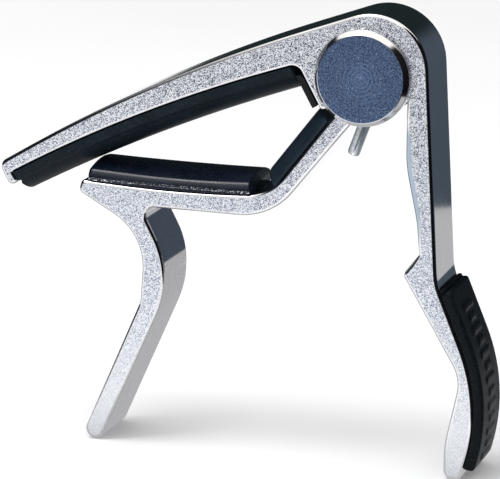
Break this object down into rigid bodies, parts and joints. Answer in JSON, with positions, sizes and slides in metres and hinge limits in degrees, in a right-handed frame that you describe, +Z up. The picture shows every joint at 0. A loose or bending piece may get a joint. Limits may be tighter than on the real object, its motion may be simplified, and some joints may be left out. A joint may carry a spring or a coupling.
{
  "type": "guitar capo",
  "caption": "Spring-loaded trigger capo that clamps across a guitar neck, with padded metal jaws, squeeze handles and a rubber grip.",
  "frame": {"origin": "on the pivot axis, half way through the width of the two frames", "axes": "+X from the jaws towards the trigger handle, +Y along the pivot axis away from the large pivot head, +Z up with both handle ends standing on a level floor"},
  "size_m": [0.103, 0.0189, 0.0927],
  "materials": {
    "nickel_frame": "satin, blasted side faces",
    "turned_steel": "turned",
    "spring_steel": "oiled",
    "zinc_steel": "zinc plated",
    "black_rubber": "satin"
  },
  "bodies": {
    "jaw": {"lower_jaw": "nickel_frame", "neck_pad": "black_rubber", "throat_pad": "black_rubber", "pivot_pin": "turned_steel", "rear_cap": "turned_steel", "stop_pin": "zinc_steel", "torsion_spring": "spring_steel"},
    "trigger": {"trigger_arm": "nickel_frame", "string_pad": "black_rubber", "throat_liner": "black_rubber", "trigger_grip": "black_rubber"}
  },
  "joints": [
    {"name": "jaw_pivot", "type": "hinge", "parent": "jaw", "child": "trigger", "pos_m": [0, 0, 0], "axis": [0, 1, 0], "range_deg": [0, 38], "stiffness_Nm_per_rad": 1.5, "springref_deg": -57.3, "deforming": ["torsion_spring"]}
  ]
}
